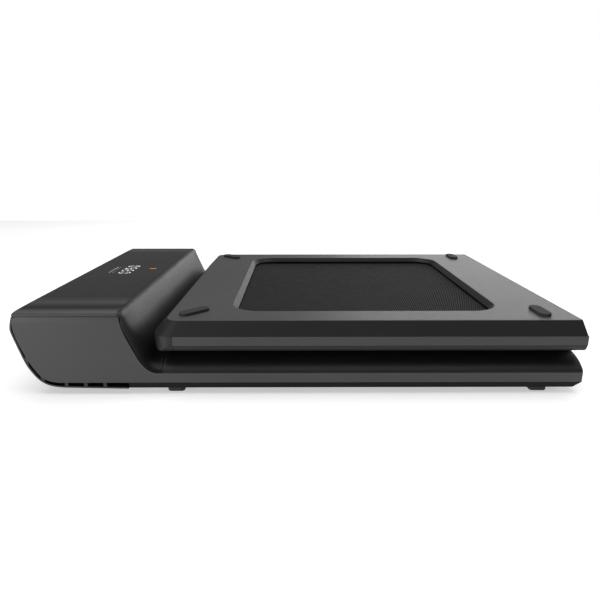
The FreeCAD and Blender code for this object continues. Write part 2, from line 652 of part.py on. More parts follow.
# ---- mains inlet, switch, reset ----
def power_inlet():
    flange = box(INLET_FLOOR - 2.5, INLET_FLOOR, INLET_Y - 16.5, INLET_Y + 16.5, INLET_Z - 13, INLET_Z + 13)
    body = box(INLET_FLOOR, INLET_FLOOR + 20, INLET_Y - 13.5, INLET_Y + 13.5, INLET_Z - 10, INLET_Z + 10)
    socket = polygon_x([(INLET_Y - 12, INLET_Z - 8), (INLET_Y + 12, INLET_Z - 8), (INLET_Y + 12, INLET_Z + 4),
                        (INLET_Y + 8, INLET_Z + 8), (INLET_Y - 8, INLET_Z + 8), (INLET_Y - 12, INLET_Z + 4)],
                       INLET_FLOOR - 3, INLET_FLOOR + 15)
    blades = [box(INLET_FLOOR + 5, INLET_FLOOR + 26, INLET_Y + y - 1, INLET_Y + y + 1, INLET_Z + z - 2,
                  INLET_Z + z + 2) for y, z in ((-7, -2), (0, 2), (7, -2))]
    return flange.fuse(body).cut(socket).fuse(blades)


def switch_housing():
    y0 = SWITCH_Y - 9
    flange = box(INLET_FLOOR - 2, INLET_FLOOR, y0, y0 + 18, INLET_Z - 12.5, INLET_Z + 12.5)
    body = box(INLET_FLOOR, INLET_FLOOR + 14, SWITCH_Y - 7, SWITCH_Y + 7, INLET_Z - 10, INLET_Z + 10)
    well = box(INLET_FLOOR - 3, INLET_FLOOR + 9, SWITCH_Y - 5.6, SWITCH_Y + 5.6, INLET_Z - 9, INLET_Z + 9)
    blades = [box(INLET_FLOOR + 14, INLET_FLOOR + 22, SWITCH_Y - 3, SWITCH_Y + 3, z - 0.4, z + 0.4)
              for z in (INLET_Z - 5, INLET_Z + 5)]
    pin = rod_y(INLET_FLOOR, INLET_Z, 1.2, SWITCH_Y - 7, SWITCH_Y + 7)
    return flange.fuse(body).cut(well).fuse(blades).fuse(pin)


def power_rocker():
    x = INLET_FLOOR
    rocker = polygon_y([(x + 3, INLET_Z - 7.0), (x - 3.4, INLET_Z - 8.2), (x - 2.6, INLET_Z - 3),
                        (x - 2.2, INLET_Z), (x - 2.6, INLET_Z + 3), (x - 3.4, INLET_Z + 8.2),
                        (x + 3, INLET_Z + 7.0)], SWITCH_Y - 5.2, SWITCH_Y + 5.2)
    rocker = rocker.cut(rod_y(x, INLET_Z, 1.25, SWITCH_Y - 8, SWITCH_Y + 8))
    rocker.rotate(V(x, 0, INLET_Z), V(0, 1, 0), -ROCKER_TILT)
    return rocker


def reset_body():
    x = INLET_FLOOR
    body = rod_x(RESET_Y, INLET_Z, 8.5, x - 2, x).fuse(rod_x(RESET_Y, INLET_Z, 6.0, x, x + 20))
    return body.cut(rod_x(RESET_Y, INLET_Z, 3.6, x - 3, x + 12))


def reset_button():
    x = INLET_FLOOR
    button = rod_x(RESET_Y, INLET_Z, 3.5, x - 5.5, x + 7)
    rim = [e for e in button.Edges if e.BoundBox.XMax < x - 5.4]
    return button.makeFillet(0.8, rim)


# ---- transport wheels ----
def wheel_well(side):
    """A pocket in the nose for one wheel, open below, with two walls that hold the axle."""
    middle = side * WHEEL_Y
    walls = box(-388, WHEEL_X + 21, middle - 14, middle + 14, 8, 45).cut(
        box(-387, WHEEL_X + 19, middle - 12, middle + 12, 0, 43))
    inside = along_y(chain(NOSE_INNER, [(-300, 12.6), (-300, 118.1)]), middle - 20, middle + 20)
    return walls.common(inside).cut(rod_y(WHEEL_X, WHEEL_Z, 3.0, middle - 20, middle + 20))


def wheel_axle(side):
    middle = side * WHEEL_Y
    return rod_y(WHEEL_X, WHEEL_Z, 2.95, middle - 15, middle + 15)


def transport_wheel(side):
    middle = side * WHEEL_Y
    wheel = pipe_y(WHEEL_X, WHEEL_Z, WHEEL_R, 3.0, middle - WHEEL_HALF_WIDTH, middle + WHEEL_HALF_WIDTH)
    reach = WHEEL_X + WHEEL_R - 0.1
    rims = [e for e in wheel.Edges if e.BoundBox.XMax > reach and e.BoundBox.YLength < 1e-3]
    wheel = wheel.makeFillet(2.0, rims)
    dish = pipe_y(WHEEL_X, WHEEL_Z, 11, 5.5, middle - 11, middle - 7)
    return wheel.cut(dish).cut(pipe_y(WHEEL_X, WHEEL_Z, 11, 5.5, middle + 7, middle + 11))


# ---- fold hinges ----
BARREL_R = 3.9
PIN_R = 2.0
FRONT_KNUCKLES = ((-230.0, -225.8), (-220.2, -216.0))
REAR_KNUCKLE = (-225.5, -220.5)


def hinge_front():
    leaf = box(404.1, 407.1, -250, -216, 20, 44)
    solid = leaf
    for y0, y1 in FRONT_KNUCKLES:
        neck = polygon_y([(404.1, 43), (407.1, 43), (413.0, 54.0), (409.0, 57.4), (404.1, 51)], y0, y1)
        solid = solid.fuse([neck, rod_y(HINGE_X, HINGE_Z, BARREL_R, y0, y1)])
    return solid.cut(rod_y(HINGE_X, HINGE_Z, PIN_R + 0.05, -260, -210)).cut(
        rod_y(IDLER_X, IDLER_Z, 12, -260, -210))


def hinge_rear():
    """Drawn lying flat, on the far side of the hinge axis."""
    x = 2 * HINGE_X
    y0, y1 = REAR_KNUCKLE
    leaf = box(x - 407.1, x - 404.1, -250, -216, 20, 44)
    neck_outline = [(x - 404.1, 43), (x - 407.1, 43), (x - 413.0, 54.0), (x - 409.0, 57.4), (x - 404.1, 51)]
    neck = polygon_y(neck_outline, y0, y1)
    solid = leaf.fuse([neck, rod_y(HINGE_X, HINGE_Z, BARREL_R, y0, y1)])
    return solid.cut(rod_y(HINGE_X, HINGE_Z, PIN_R + 0.05, -260, -210)).cut(
        rod_y(x - IDLER_X, IDLER_Z, 12, -260, -210))


def hinge_pin():
    return rod_y(HINGE_X, HINGE_Z, PIN_R, -230.5, -215.5)


def idler(x):
    """A slim roller that carries the belt's return run past the fold, turning on its own end journals."""
    barrel = rod_y(x, IDLER_Z, IDLER_R, -BOARD_HALF_WIDTH, BOARD_HALF_WIDTH)
    return barrel.fuse(rod_y(x, IDLER_Z, 3.0, -RAIL_IN - 2, RAIL_IN + 2))


# ---- rear half, drawn lying flat ----
REAR_CAP_START = 1005.0
WINDOW = (515.5, 929.0, 219.5, 45.0)    # x from, x to, half width, corner radius
REAR_FEET = [(2 * HINGE_X - 359, -HALF_WIDTH + 47, 90), (2 * HINGE_X + 158, -HALF_WIDTH + 47, 135)]


def tray_solid(z0, z1, shrink):
    """The slanted-side tray of the rear half between heights z0 and z1, moved in by shrink."""
    whole = 26.4 - REAR_BOTTOM

    def outline(z):
        t = (z - REAR_BOTTOM) / whole
        half = HALF_WIDTH - 7.5 + 7.5 * t - shrink
        near = REAR_FOLD_END + 7.5 - 7.5 * t + shrink
        far = REAR_END - 21 + 21 * t - shrink
        return rounded_rectangle(near, far, half, z, 3.0, 20 + 10 * t)

    return Part.makeLoft([outline(z0), outline(z1)], True, True)


def rear_bottom_panel():
    shell = tray_solid(REAR_BOTTOM, 26.4, 0).cut(tray_solid(REAR_BOTTOM + SKIN, 26.5, SKIN))
    x0, x1, w, r = WINDOW
    depth = 13.0
    wall = Part.makeLoft([rounded_rectangle(x0 - 2.0, x1 + 2.0, w + 2.0, REAR_BOTTOM + 0.5, r + 2, r + 2),
                          rounded_rectangle(x0 + 5.5, x1 - 5.5, w - 2.5, depth, r - 2, r - 2)], True, True)
    mouth = Part.makeLoft([rounded_rectangle(x0, x1, w, REAR_BOTTOM, r, r),
                           rounded_rectangle(x0 + 7.5, x1 - 7.5, w - 4.5, depth, r - 4, r - 4)], True, True)
    through = rounded_plate(x0, x1, w, REAR_BOTTOM - 1, REAR_BOTTOM + 0.01, r, r)
    shell = shell.fuse(wall).cut(mouth).cut(through)
    belt_way = box(405, 434, -BELT_WIDTH / 2 - 5, BELT_WIDTH / 2 + 5, 12, 40)
    shell = shell.cut(belt_way)
    rim = [e for e in shell.Edges if abs(e.BoundBox.ZMin - REAR_BOTTOM) < 0.01
           and abs(e.BoundBox.ZMax - REAR_BOTTOM) < 0.01
           and (abs(e.BoundBox.YMax) > w + 10 or e.BoundBox.XMax > x1 + 20)]
    return shell.makeFillet(1.0, rim)


def rear_feet():
    feet = []
    for x, y, angle in REAR_FEET:
        feet += both_sides(obround(x, y, 0, REAR_BOTTOM, 50, 9, angle))
    return feet


def rear_side_band():
    return box(REAR_FOLD_END, REAR_CAP_START, -HALF_WIDTH, -HALF_WIDTH + PLATE, 26.7, 40.3)


def shoulder_block(shrink):
    """Everything inside the rear half's upper skin at its far end, moved in by shrink."""
    across = [(-HALF_WIDTH + i + shrink, z - shrink) for i, z in REAR_RAIL]
    across = [(-HALF_WIDTH + shrink, 26.7), (-HALF_WIDTH + shrink, 40.3)] + across
    across += [(-y, z) for y, z in across[::-1]]
    a = polygon_x(across, REAR_CAP_START - (1 if shrink else 0), REAR_END)
    far = REAR_END - shrink
    top = DECK_TOP - shrink
    profile = [(REAR_CAP_START - 2, 26.6), (far, 26.6), (far - 2.5, 40), (far - 7, 48 - shrink * 0.6),
               (far - 13, 51.6 - shrink), (far - 24, top), (REAR_CAP_START - 2, top)]
    b = polygon_y(profile, -HALF_WIDTH - 1, HALF_WIDTH + 1)
    c = rounded_plate(600, far, HALF_WIDTH - shrink, 20, 60, 5, 30 - shrink)
    return a.common(b).common(c)


def rear_end_cap():
    cap = shoulder_block(0).cut(shoulder_block(SKIN))
    return cap.cut(box(1000, 1009.5, -BELT_WIDTH / 2 - 4, BELT_WIDTH / 2 + 4, 40, 60))


def rear_rail():
    rail = hollow_rail(419, 1020, -RAIL_OUT, -RAIL_IN, RAIL_BOTTOM, RAIL_TOP)
    rail = rail.fuse(box(1017, 1020, -RAIL_OUT + 1, -RAIL_IN - 1, RAIL_BOTTOM + 1, RAIL_TOP - 1))
    rail = rail.cut(rod_x(-232, ROLLER_Z, 3.1, 1010, 1025))
    return rail.cut(box(REAR_ROLLER_X - 8, REAR_ROLLER_X + 10, -RAIL_IN - 3, -RAIL_IN + 1,
                        ROLLER_Z - AXLE_R - 0.05, ROLLER_Z + AXLE_R + 0.05)).cut(
        rod_y(2 * HINGE_X - IDLER_X, IDLER_Z, 3.05, -RAIL_IN - 5, -RAIL_IN + 1))


def tension_bolt(side):
    y = side * 232
    shank = rod_x(y, ROLLER_Z, 3.0, REAR_ROLLER_X + AXLE_R + 0.1, 1020)
    return shank.fuse(rod_x(y, ROLLER_Z, 5.0, 1020, 1024))


# ---- build: front half ----
save("side_cover_left", side_cover())
save("side_cover_right", mirrored(side_cover()))
front_footrail = footrail(FRONT_RAIL, -199.6, FRONT_FOLD_END).cut(hinge_notch(402, 412))
save("front_footrails", *both_sides(front_footrail))
save("housing_top_cover", top_cover())
save("display_window", display_window())
save("display_board", display_board())
save("ramp_cover", ramp_cover())
save("bumper_cover", bumper_cover())
save("front_bottom_plate", front_bottom_plate())
save("bottom_screws", *bottom_screws())
save("front_feet", *front_feet())
front_cap = fold_end_caps(FRONT_FOLD_END - 2.4, FRONT_FOLD_END, BAND_BOTTOM, FRONT_RAIL)
save("fold_end_caps_front", *both_sides(front_cap.cut(hinge_notch(402, 412))))
save("front_frame_rails", *both_sides(front_rail()))
save("front_crossmembers", *cross_members(FRONT_CROSS_X))
save("front_board_cushions", *cushions(FRONT_CROSS_X))
save("running_board_front", running_board(-214, 392))
drive_axle = rod_y(DRIVE_ROLLER_X, ROLLER_Z, AXLE_R, -226, 267)
drive_tube = roller_tube(DRIVE_ROLLER_X, ROLLER_Z, ROLLER_R, 13.5, 214)
plugs = [rod_y(DRIVE_ROLLER_X, ROLLER_Z, 14, 200, 210), rod_y(DRIVE_ROLLER_X, ROLLER_Z, 14, -210, -200)]
save("drive_roller", drive_axle.fuse(plugs + [drive_tube]))
save("drive_pulley", pulley(DRIVE_ROLLER_X, ROLLER_Z, DRIVE_PULLEY_R, AXLE_R + 0.02, 4))
save("drive_roller_bearings", *both_sides(
    bearing(DRIVE_ROLLER_X, ROLLER_Z, -223.4, -216.6, AXLE_R + RUNNING_GAP, 13)))
save("roller_bearing_blocks", *roller_bearing_blocks())
save("belt_front", belt_front())
save("belt_fold", belt_fold_outer(), belt_fold_inner())
save("drive_belt", drive_belt())
save("motor_case", pipe_y(MOTOR_X, MOTOR_Z, MOTOR_R, MOTOR_R - 3, MOTOR_Y0, MOTOR_Y1))
save("motor_end_bells", motor_end_bell(MOTOR_Y0 - 6, MOTOR_Y0), motor_end_bell(MOTOR_Y1, MOTOR_Y1 + 6))
save("motor_stator", pipe_y(MOTOR_X, MOTOR_Z, MOTOR_R - 3.05, 25, 90, 180))
save("motor_bearings", bearing(MOTOR_X, MOTOR_Z, MOTOR_Y0 - 6, MOTOR_Y0 + 1, SHAFT_R + RUNNING_GAP, 11),
     bearing(MOTOR_X, MOTOR_Z, MOTOR_Y1 - 1, MOTOR_Y1 + 6, SHAFT_R + RUNNING_GAP, 11))
save("motor_rotor", rod_y(MOTOR_X, MOTOR_Z, 24.4, 92, 178).fuse(
    rod_y(MOTOR_X, MOTOR_Z, SHAFT_R, MOTOR_Y0 - 8, 267)))
save("motor_pulley", pulley(MOTOR_X, MOTOR_Z, MOTOR_PULLEY_R, SHAFT_R + 0.02, 4))
save("motor_mount", base_plate().fuse([motor_bracket(MOTOR_Y0 - 9.2, MOTOR_Y0 - 6.2),
                                       motor_bracket(MOTOR_Y1 + 6.2, MOTOR_Y1 + 9.2)]))
save("controller_heat_sink", heat_sink())
save("controller_board", controller_board())
save("power_inlet", power_inlet())
save("switch_housing", switch_housing())
save("power_rocker", power_rocker())
save("reset_body", reset_body())
save("reset_button", reset_button())
save("wheel_axles", wheel_axle(-1), wheel_axle(1))
save("transport_wheel_left", transport_wheel(-1))
save("transport_wheel_right", transport_wheel(1))
save("hinge_leaves_front", *both_sides(hinge_front()))
save("hinge_pins", *both_sides(hinge_pin()))
save("idler_front", idler(IDLER_X))

# ---- build: rear half ----
save_rear("rear_bottom_panel", rear_bottom_panel())
save_rear("rear_feet", *rear_feet())
rear_footrail = footrail(REAR_RAIL, REAR_FOLD_END, REAR_CAP_START - 0.3).cut(hinge_notch(411, 421))
save_rear("rear_footrails", *both_sides(rear_footrail))
save_rear("rear_side_bands", *both_sides(rear_side_band()))
save_rear("rear_end_cap", rear_end_cap())
rear_cap = fold_end_caps(REAR_FOLD_END, REAR_FOLD_END + 2.4, 26.7, REAR_RAIL).cut(hinge_notch(411, 421))
save_rear("fold_end_caps_rear", *both_sides(rear_cap))
save_rear("rear_frame_rails", *both_sides(rear_rail()))
save_rear("rear_crossmembers", *cross_members(REAR_CROSS_X))
save_rear("rear_board_cushions", *cushions(REAR_CROSS_X))
save_rear("running_board_rear", running_board(431, 980))
save_rear("belt_rear", belt_rear())
save_rear("rear_roller_tube", roller_tube(REAR_ROLLER_X, ROLLER_Z, ROLLER_R, 13.5, 214))
save_rear("rear_roller_bearings", *both_sides(
    bearing(REAR_ROLLER_X, ROLLER_Z, -213, -205, AXLE_R + RUNNING_GAP, 13.45)))
save_rear("rear_roller_axle", rod_y(REAR_ROLLER_X, ROLLER_Z, AXLE_R, -238, 238))
save_rear("tension_bolts", tension_bolt(-1), tension_bolt(1))
save_rear("hinge_leaves_rear", *both_sides(hinge_rear()))
save_rear("idler_rear", idler(2 * HINGE_X - IDLER_X))
print(len(os.listdir("parts")), "files")
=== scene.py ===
import bmesh
import bpy
import json
import math
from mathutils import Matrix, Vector


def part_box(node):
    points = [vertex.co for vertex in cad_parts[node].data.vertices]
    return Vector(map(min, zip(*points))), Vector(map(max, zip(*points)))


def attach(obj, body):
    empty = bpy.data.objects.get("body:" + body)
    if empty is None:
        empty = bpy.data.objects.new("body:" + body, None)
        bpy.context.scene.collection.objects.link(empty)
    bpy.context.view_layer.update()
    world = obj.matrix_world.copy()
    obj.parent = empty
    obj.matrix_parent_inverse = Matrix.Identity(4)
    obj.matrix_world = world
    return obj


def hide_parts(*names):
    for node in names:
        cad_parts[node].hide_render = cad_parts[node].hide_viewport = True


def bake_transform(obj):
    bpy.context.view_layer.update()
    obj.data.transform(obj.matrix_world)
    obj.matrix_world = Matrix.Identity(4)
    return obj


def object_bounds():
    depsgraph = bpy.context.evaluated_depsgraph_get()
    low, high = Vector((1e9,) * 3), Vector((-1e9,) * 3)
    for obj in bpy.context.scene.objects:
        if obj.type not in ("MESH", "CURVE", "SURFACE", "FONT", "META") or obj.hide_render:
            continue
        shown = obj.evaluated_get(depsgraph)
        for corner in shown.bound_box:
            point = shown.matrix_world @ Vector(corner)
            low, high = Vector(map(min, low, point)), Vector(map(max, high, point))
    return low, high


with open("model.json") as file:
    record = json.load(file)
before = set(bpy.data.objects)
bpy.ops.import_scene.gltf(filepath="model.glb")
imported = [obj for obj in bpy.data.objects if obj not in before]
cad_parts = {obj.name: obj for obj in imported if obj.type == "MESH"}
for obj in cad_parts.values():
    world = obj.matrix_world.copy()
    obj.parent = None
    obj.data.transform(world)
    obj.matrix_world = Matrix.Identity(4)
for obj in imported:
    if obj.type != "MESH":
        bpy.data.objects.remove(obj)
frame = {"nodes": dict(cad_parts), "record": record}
cad_low, cad_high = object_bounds()
nodes = frame["nodes"]


# ---- material helpers ----
class Shader:
    """A node material with a Principled shader, and short calls to add and link nodes."""

    def __init__(self, name):
        self.material = bpy.data.materials.new(name)
        self.material.use_nodes = True
        self.tree = self.material.node_tree
        self.tree.nodes.clear()
        output = self.add("ShaderNodeOutputMaterial")
        self.surface = self.add("ShaderNodeBsdfPrincipled")
        self.link(self.surface, "BSDF", output, "Surface")
        self.place = self.add("ShaderNodeTexCoord")

    def add(self, kind, **settings):
        node = self.tree.nodes.new(kind)
        for key, value in settings.items():
            setattr(node, key, value)
        return node

    def link(self, source, output, target, entry):
        self.tree.links.new(source.outputs[output], target.inputs[entry])

    def set(self, **values):
        names = {"rough": "Roughness", "metal": "Metallic", "specular": "Specular IOR Level",
                 "glow": "Emission Strength"}
        for key, value in values.items():
            self.surface.inputs[names[key]].default_value = value

    def coordinates(self):
        """A node whose outputs X, Y and Z are the place on the object, in metres."""
        split = self.add("ShaderNodeSeparateXYZ")
        self.link(self.place, "Object", split, "Vector")
        return split

    def noise(self, scale, detail=2.0, rough=0.5, stretch=None):
        node = self.add("ShaderNodeTexNoise")
        node.inputs["Scale"].default_value = scale
        node.inputs["Detail"].default_value = detail
        node.inputs["Roughness"].default_value = rough
        if stretch is None:
            self.link(self.place, "Object", node, "Vector")
        else:
            mapping = self.add("ShaderNodeMapping")
            mapping.inputs["Scale"].default_value = stretch
            self.link(self.place, "Object", mapping, "Vector")
            self.link(mapping, "Vector", node, "Vector")
        return node

    def ramp(self, source, output, stops):
        """A colour ramp; each stop is a position and a grey level or a colour."""
        node = self.add("ShaderNodeValToRGB")
        elements = node.color_ramp.elements
        while len(elements) < len(stops):
            elements.new(0.5)
        for element, (position, value) in zip(elements, stops):
            element.position = position
            if isinstance(value, tuple):
                element.color = (*value, 1)
            else:
                element.color = (value, value, value, 1)
        self.link(source, output, node, "Fac")
        return node

    def math(self, operation, first, second):
        """A math node; each of its two inputs is a number or a socket."""
        node = self.add("ShaderNodeMath", operation=operation)
        for index, value in enumerate((first, second)):
            if isinstance(value, (int, float)):
                node.inputs[index].default_value = value
            else:
                self.tree.links.new(value, node.inputs[index])
        return node.outputs[0]

    def bump(self, height, distance, strength=1.0, normal=None):
        node = self.add("ShaderNodeBump")
        node.inputs["Distance"].default_value = distance
        node.inputs["Strength"].default_value = strength
        self.tree.links.new(height, node.inputs["Height"])
        if normal is not None:
            self.tree.links.new(normal, node.inputs["Normal"])
        return node.outputs["Normal"]


def grey(value):
    return (value, value, value)


def scaled(color, factor):
    return tuple(channel * factor for channel in color)


PAINTED_SIDE_LIGHT_REACH = 0.1         # the painted light and shade at the sides reach this much of the width, in from each side
# painted light and shade on the housing top, as a factor on its colour at each distance in from its
# sides:
# lightest, a painted highlight, on the rounded rim; darkest, a painted shade, in the hollow beside it; a
# painted sheen stripe further in
TOP_PAINTED_LIGHT = [(0.0, 4.6), (0.009, 4.6), (0.015, 1.6), (0.023, 0.4),
              (0.033, 1.6), (0.045, 3.6), (0.056, 2.4), (0.075, 1.0)]
# height, factor and fade of the painted shade on each of three mouldings
PANEL_PAINTED_SHADE = (0.1103, 0.145, 0.0009)       # painted shade on the rear panel's slanted edge, under its flat face
BUMPER_PAINTED_SHADE = (0.040, 0.2, 0.015)          # painted shade on the bumper's underside
RAMP_PAINTED_SHADE = (0.118, 0.08, 0.062)           # painted shade down the ramp, darkest at its foot
SPARK_GRAIN = 1400              # noise scale of the grain that a spark-eroded mould leaves


def with_painted_shade_below(s, color, height, factor, fade):
    """The colour with painted shade, which fades from a height down, over the fade's length, to a factor
    of itself.
    """
    band = s.add("ShaderNodeMapRange")
    band.inputs["From Min"].default_value = height - fade
    band.inputs["From Max"].default_value = height
    band.inputs["To Min"].default_value = factor
    s.link(s.coordinates(), "Z", band, "Value")
    shade = s.add("ShaderNodeVectorMath", operation="SCALE")
    s.tree.links.new(color, shade.inputs["Vector"])
    s.link(band, "Result", shade, "Scale")
    return shade.outputs["Vector"]


def with_painted_side_light(s, color, painted_side_light):
    """The colour, scaled by painted light and shade that change with the distance in from either side."""
    half_width = cad_high[1]
    off_centre = s.math("ABSOLUTE", s.coordinates().outputs["Y"], 0.0)
    inset = s.math("SUBTRACT", half_width, off_centre)
    across = s.add("ShaderNodeMath", operation="DIVIDE")
    across.inputs[1].default_value = PAINTED_SIDE_LIGHT_REACH
    s.tree.links.new(inset, across.inputs[0])
    lightest = max(factor for distance, factor in painted_side_light)
    stops = [(distance / PAINTED_SIDE_LIGHT_REACH, factor / lightest) for distance, factor in painted_side_light]
    painted_light_ramp = s.ramp(across, "Value", stops)
    strong = s.math("MULTIPLY", painted_light_ramp.outputs["Color"], lightest)
    shade = s.add("ShaderNodeVectorMath", operation="SCALE")
    s.tree.links.new(color, shade.inputs["Vector"])
    s.tree.links.new(strong, shade.inputs["Scale"])
    return shade.outputs["Vector"]


def moulded(name, color, rough, grain=0.00006, specular=0.5, soften=0.0,
            painted_shade_below=None, painted_side_light=None):
    """Moulded plastic: fine spark grain, faint flow variation, and patches that shine a little more.

    grain is the grain's depth and soften the radius that rounds its edges in the shading, in metres.
    The painted shade below is a height, a factor and a fade: from that height down, over the fade's
    length, the moulding darkens with painted shade to that factor of its colour.
    The painted light at the sides lists distances in from the sides, in metres, and the factor there:
    above one a painted highlight, below one a painted shade.
    """
    s = Shader(name)
    flow = s.noise(7, 3)
    tint = s.ramp(flow, "Fac", [(0.3, scaled(color, 0.92)), (0.7, scaled(color, 1.08))]).outputs["Color"]
    if painted_shade_below:
        tint = with_painted_shade_below(s, tint, *painted_shade_below)
    if painted_side_light:
        tint = with_painted_side_light(s, tint, painted_side_light)
    s.tree.links.new(tint, s.surface.inputs["Base Color"])
    rubbed = s.noise(120, 4, 0.6)
    gloss = s.ramp(rubbed, "Fac", [(0.35, rough * 0.96), (0.65, rough * 1.04)])
    s.link(gloss, "Color", s.surface, "Roughness")
    normal = None
    if soften:
        rounded = s.add("ShaderNodeBevel", samples=4)
        rounded.inputs["Radius"].default_value = soften
        normal = rounded.outputs["Normal"]
    fine = s.noise(SPARK_GRAIN, 2, 0.55)
    s.tree.links.new(s.bump(fine.outputs["Fac"], grain, 0.7, normal), s.surface.inputs["Normal"])
    s.set(specular=specular)
    return s.material


def rubber(name, value):
    """Dusty rubber with a fine grain."""
    s = Shader(name)
    dust = s.noise(30, 5, 0.6)
    tint = s.ramp(dust, "Fac", [(0.35, value * 0.85), (0.7, value * 1.3)])
    s.link(tint, "Color", s.surface, "Base Color")
    gloss = s.ramp(dust, "Fac", [(0.3, 0.78), (0.7, 0.92)])
    s.link(gloss, "Color", s.surface, "Roughness")
    fine = s.noise(900, 2)
    s.tree.links.new(s.bump(fine.outputs["Fac"], 0.0001, 0.6), s.surface.inputs["Normal"])
    s.set(specular=0.3)
    return s.material


def metal(name, color, rough, stretch=(20, 900, 900)):
    """Ground or drawn metal with fine lines along one axis."""
    s = Shader(name)
    lines = s.noise(1, 3, 0.6, stretch)
    tint = s.ramp(lines, "Fac", [(0.3, scaled(color, 0.86)), (0.7, scaled(color, 1.08))])
    s.link(tint, "Color", s.surface, "Base Color")
    gloss = s.ramp(lines, "Fac", [(0.3, rough * 0.8), (0.7, rough * 1.25)])
    s.link(gloss, "Color", s.surface, "Roughness")
    s.tree.links.new(s.bump(lines.outputs["Fac"], 0.00003, 0.6), s.surface.inputs["Normal"])
    s.set(metal=1.0)
    return s.material


def coated_metal(name, color, rough):
    """Powder coat: orange-peel bump over steel."""
    s = Shader(name)
    peel = s.noise(420, 3)
    tint = s.ramp(peel, "Fac", [(0.3, scaled(color, 0.9)), (0.7, scaled(color, 1.1))])
    s.link(tint, "Color", s.surface, "Base Color")
    scuff = s.noise(25, 4)
    gloss = s.ramp(scuff, "Fac", [(0.35, rough * 0.85), (0.7, rough * 1.15)])
    s.link(gloss, "Color", s.surface, "Roughness")
    s.tree.links.new(s.bump(peel.outputs["Fac"], 0.00012, 0.5), s.surface.inputs["Normal"])
    return s.material


def wood_board(name):
    """Dark board with fibres along its length."""
    s = Shader(name)
    fibres = s.noise(1, 4, 0.6, (18, 260, 260))
    tint = s.ramp(fibres, "Fac", [(0.3, (0.055, 0.045, 0.035)), (0.7, (0.11, 0.09, 0.07))])
    s.link(tint, "Color", s.surface, "Base Color")
    gloss = s.ramp(fibres, "Fac", [(0.3, 0.4), (0.7, 0.6)])
    s.link(gloss, "Color", s.surface, "Roughness")
    s.tree.links.new(s.bump(fibres.outputs["Fac"], 0.00008, 0.5), s.surface.inputs["Normal"])
    return s.material


def circuit_board(name):
    """Green board with lighter tracks."""
    s = Shader(name)
    tracks = s.add("ShaderNodeTexBrick")
    tracks.inputs["Scale"].default_value = 160
    tracks.inputs["Color1"].default_value = (0.012, 0.10, 0.05, 1)
    tracks.inputs["Color2"].default_value = (0.016, 0.13, 0.06, 1)
    tracks.inputs["Mortar"].default_value = (0.03, 0.2, 0.09, 1)
    tracks.inputs["Mortar Size"].default_value = 0.03
    s.link(s.place, "Object", tracks, "Vector")
    s.link(tracks, "Color", s.surface, "Base Color")
    spots = s.noise(300, 2)
    gloss = s.ramp(spots, "Fac", [(0.3, 0.3), (0.7, 0.45)])
    s.link(gloss, "Color", s.surface, "Roughness")
    s.tree.links.new(s.bump(spots.outputs["Fac"], 0.00005, 0.4), s.surface.inputs["Normal"])
    return s.material


LOZENGE_LONG = 0.0092           # pitch of the belt's raised lozenges across its width
LOZENGE_SHORT = 0.0031          # and along its run
LOZENGE_RISE = 0.0004


def belt_surface(name):
    """Black PVC walking belt with staggered raised lozenges, and painted shade in the hollows between
    them.
    """
    s = Shader(name)
    place = s.coordinates()
    run = s.math("ADD", place.outputs["X"], place.outputs["Z"])
    along = s.math("COSINE", s.math("MULTIPLY", run, 2 * math.pi / LOZENGE_SHORT), 0)
    across = s.math("COSINE", s.math("MULTIPLY", place.outputs["Y"], 2 * math.pi / LOZENGE_LONG), 0)
    weave = s.math("MULTIPLY", along, across)
    height = s.add("ShaderNodeMapRange", interpolation_type="SMOOTHSTEP")
    height.inputs["From Min"].default_value = -0.15
    height.inputs["From Max"].default_value = 0.55
    s.tree.links.new(weave, height.inputs["Value"])
    # painted shade: the hollows between the lozenges are much darker than their tops
    tint = s.ramp(height, "Result", [(0.0, 0.006), (1.0, 0.062)])
    dust = s.noise(45, 5, 0.6)
    wear = s.ramp(dust, "Fac", [(0.35, 0.93), (0.7, 1.08)])
    mixed = s.add("ShaderNodeMix", data_type="RGBA", blend_type="MULTIPLY")
    mixed.inputs[0].default_value = 1.0
    s.tree.links.new(tint.outputs["Color"], mixed.inputs[6])
    s.tree.links.new(wear.outputs["Color"], mixed.inputs[7])
    s.tree.links.new(mixed.outputs[2], s.surface.inputs["Base Color"])
    gloss = s.ramp(height, "Result", [(0.0, 0.95), (1.0, 0.75)])
    s.link(gloss, "Color", s.surface, "Roughness")
    s.tree.links.new(s.bump(height.outputs["Result"], LOZENGE_RISE, 0.8), s.surface.inputs["Normal"])
    s.set(specular=0.06)
    return s.material


def smoked_glass(name):
    """The display window: nearly black, with a faint haze."""
    s = Shader(name)
    haze = s.noise(60, 3)
    gloss = s.ramp(haze, "Fac", [(0.3, 0.33), (0.7, 0.36)])
    s.link(gloss, "Color", s.surface, "Roughness")
    s.set(specular=0.2)
    tint = s.ramp(haze, "Fac", [(0.3, 0.014), (0.7, 0.017)])
    s.link(tint, "Color", s.surface, "Base Color")
    s.tree.links.new(s.bump(haze.outputs["Fac"], 0.00002, 0.3), s.surface.inputs["Normal"])
    return s.material


def lit(name, color, strength):
    """A surface that glows in its own colour."""
    s = Shader(name)
    flicker = s.noise(500, 2)
    tint = s.ramp(flicker, "Fac", [(0.3, scaled(color, 0.9)), (0.7, color)])
    s.link(tint, "Color", s.surface, "Emission Color")
    s.link(tint, "Color", s.surface, "Base Color")
    s.set(glow=strength, rough=0.5)
    return s.material
